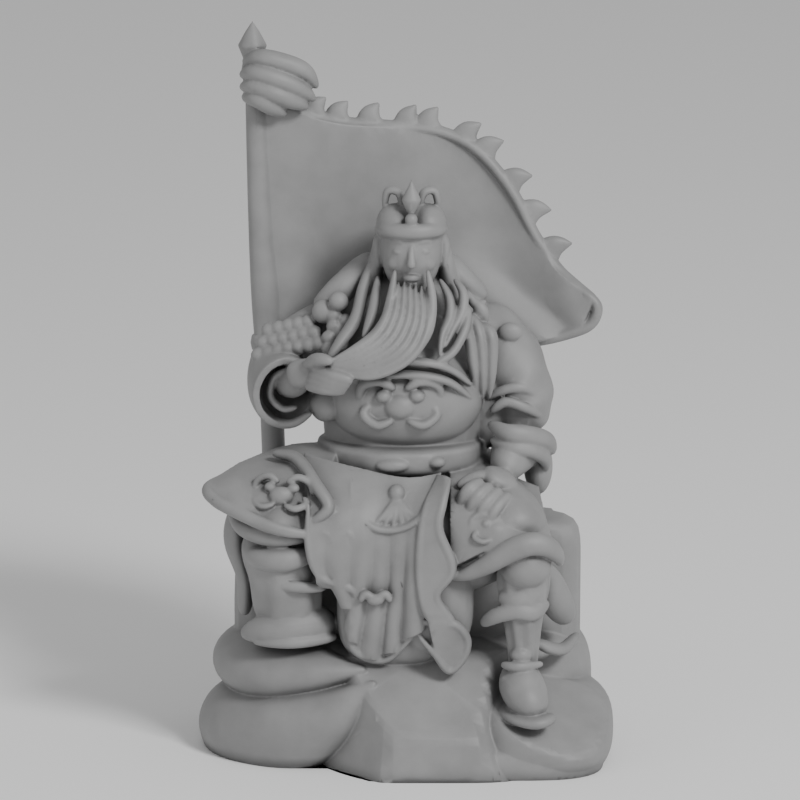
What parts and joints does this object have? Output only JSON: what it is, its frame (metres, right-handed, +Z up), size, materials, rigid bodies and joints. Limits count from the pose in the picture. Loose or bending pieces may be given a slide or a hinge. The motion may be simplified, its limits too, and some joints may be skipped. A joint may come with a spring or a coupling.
{
  "type": "warrior figurine",
  "caption": "Grey cast figurine of a bearded armoured warrior seated on a rock, stroking his beard, with a banner on a pole behind him.",
  "frame": {"origin": "centre of the flat underside of the rock", "axes": "+Z up, the figure faces -Y, its left hand side is towards +X"},
  "size_m": [0.1717, 0.1164, 0.3],
  "materials": {
    "cast_resin": "unpainted grey cast resin, satin, darker in the hollows of the carving"
  },
  "bodies": {
    "root": {"warrior_figurine": "cast_resin"}
  },
  "joints": []
}
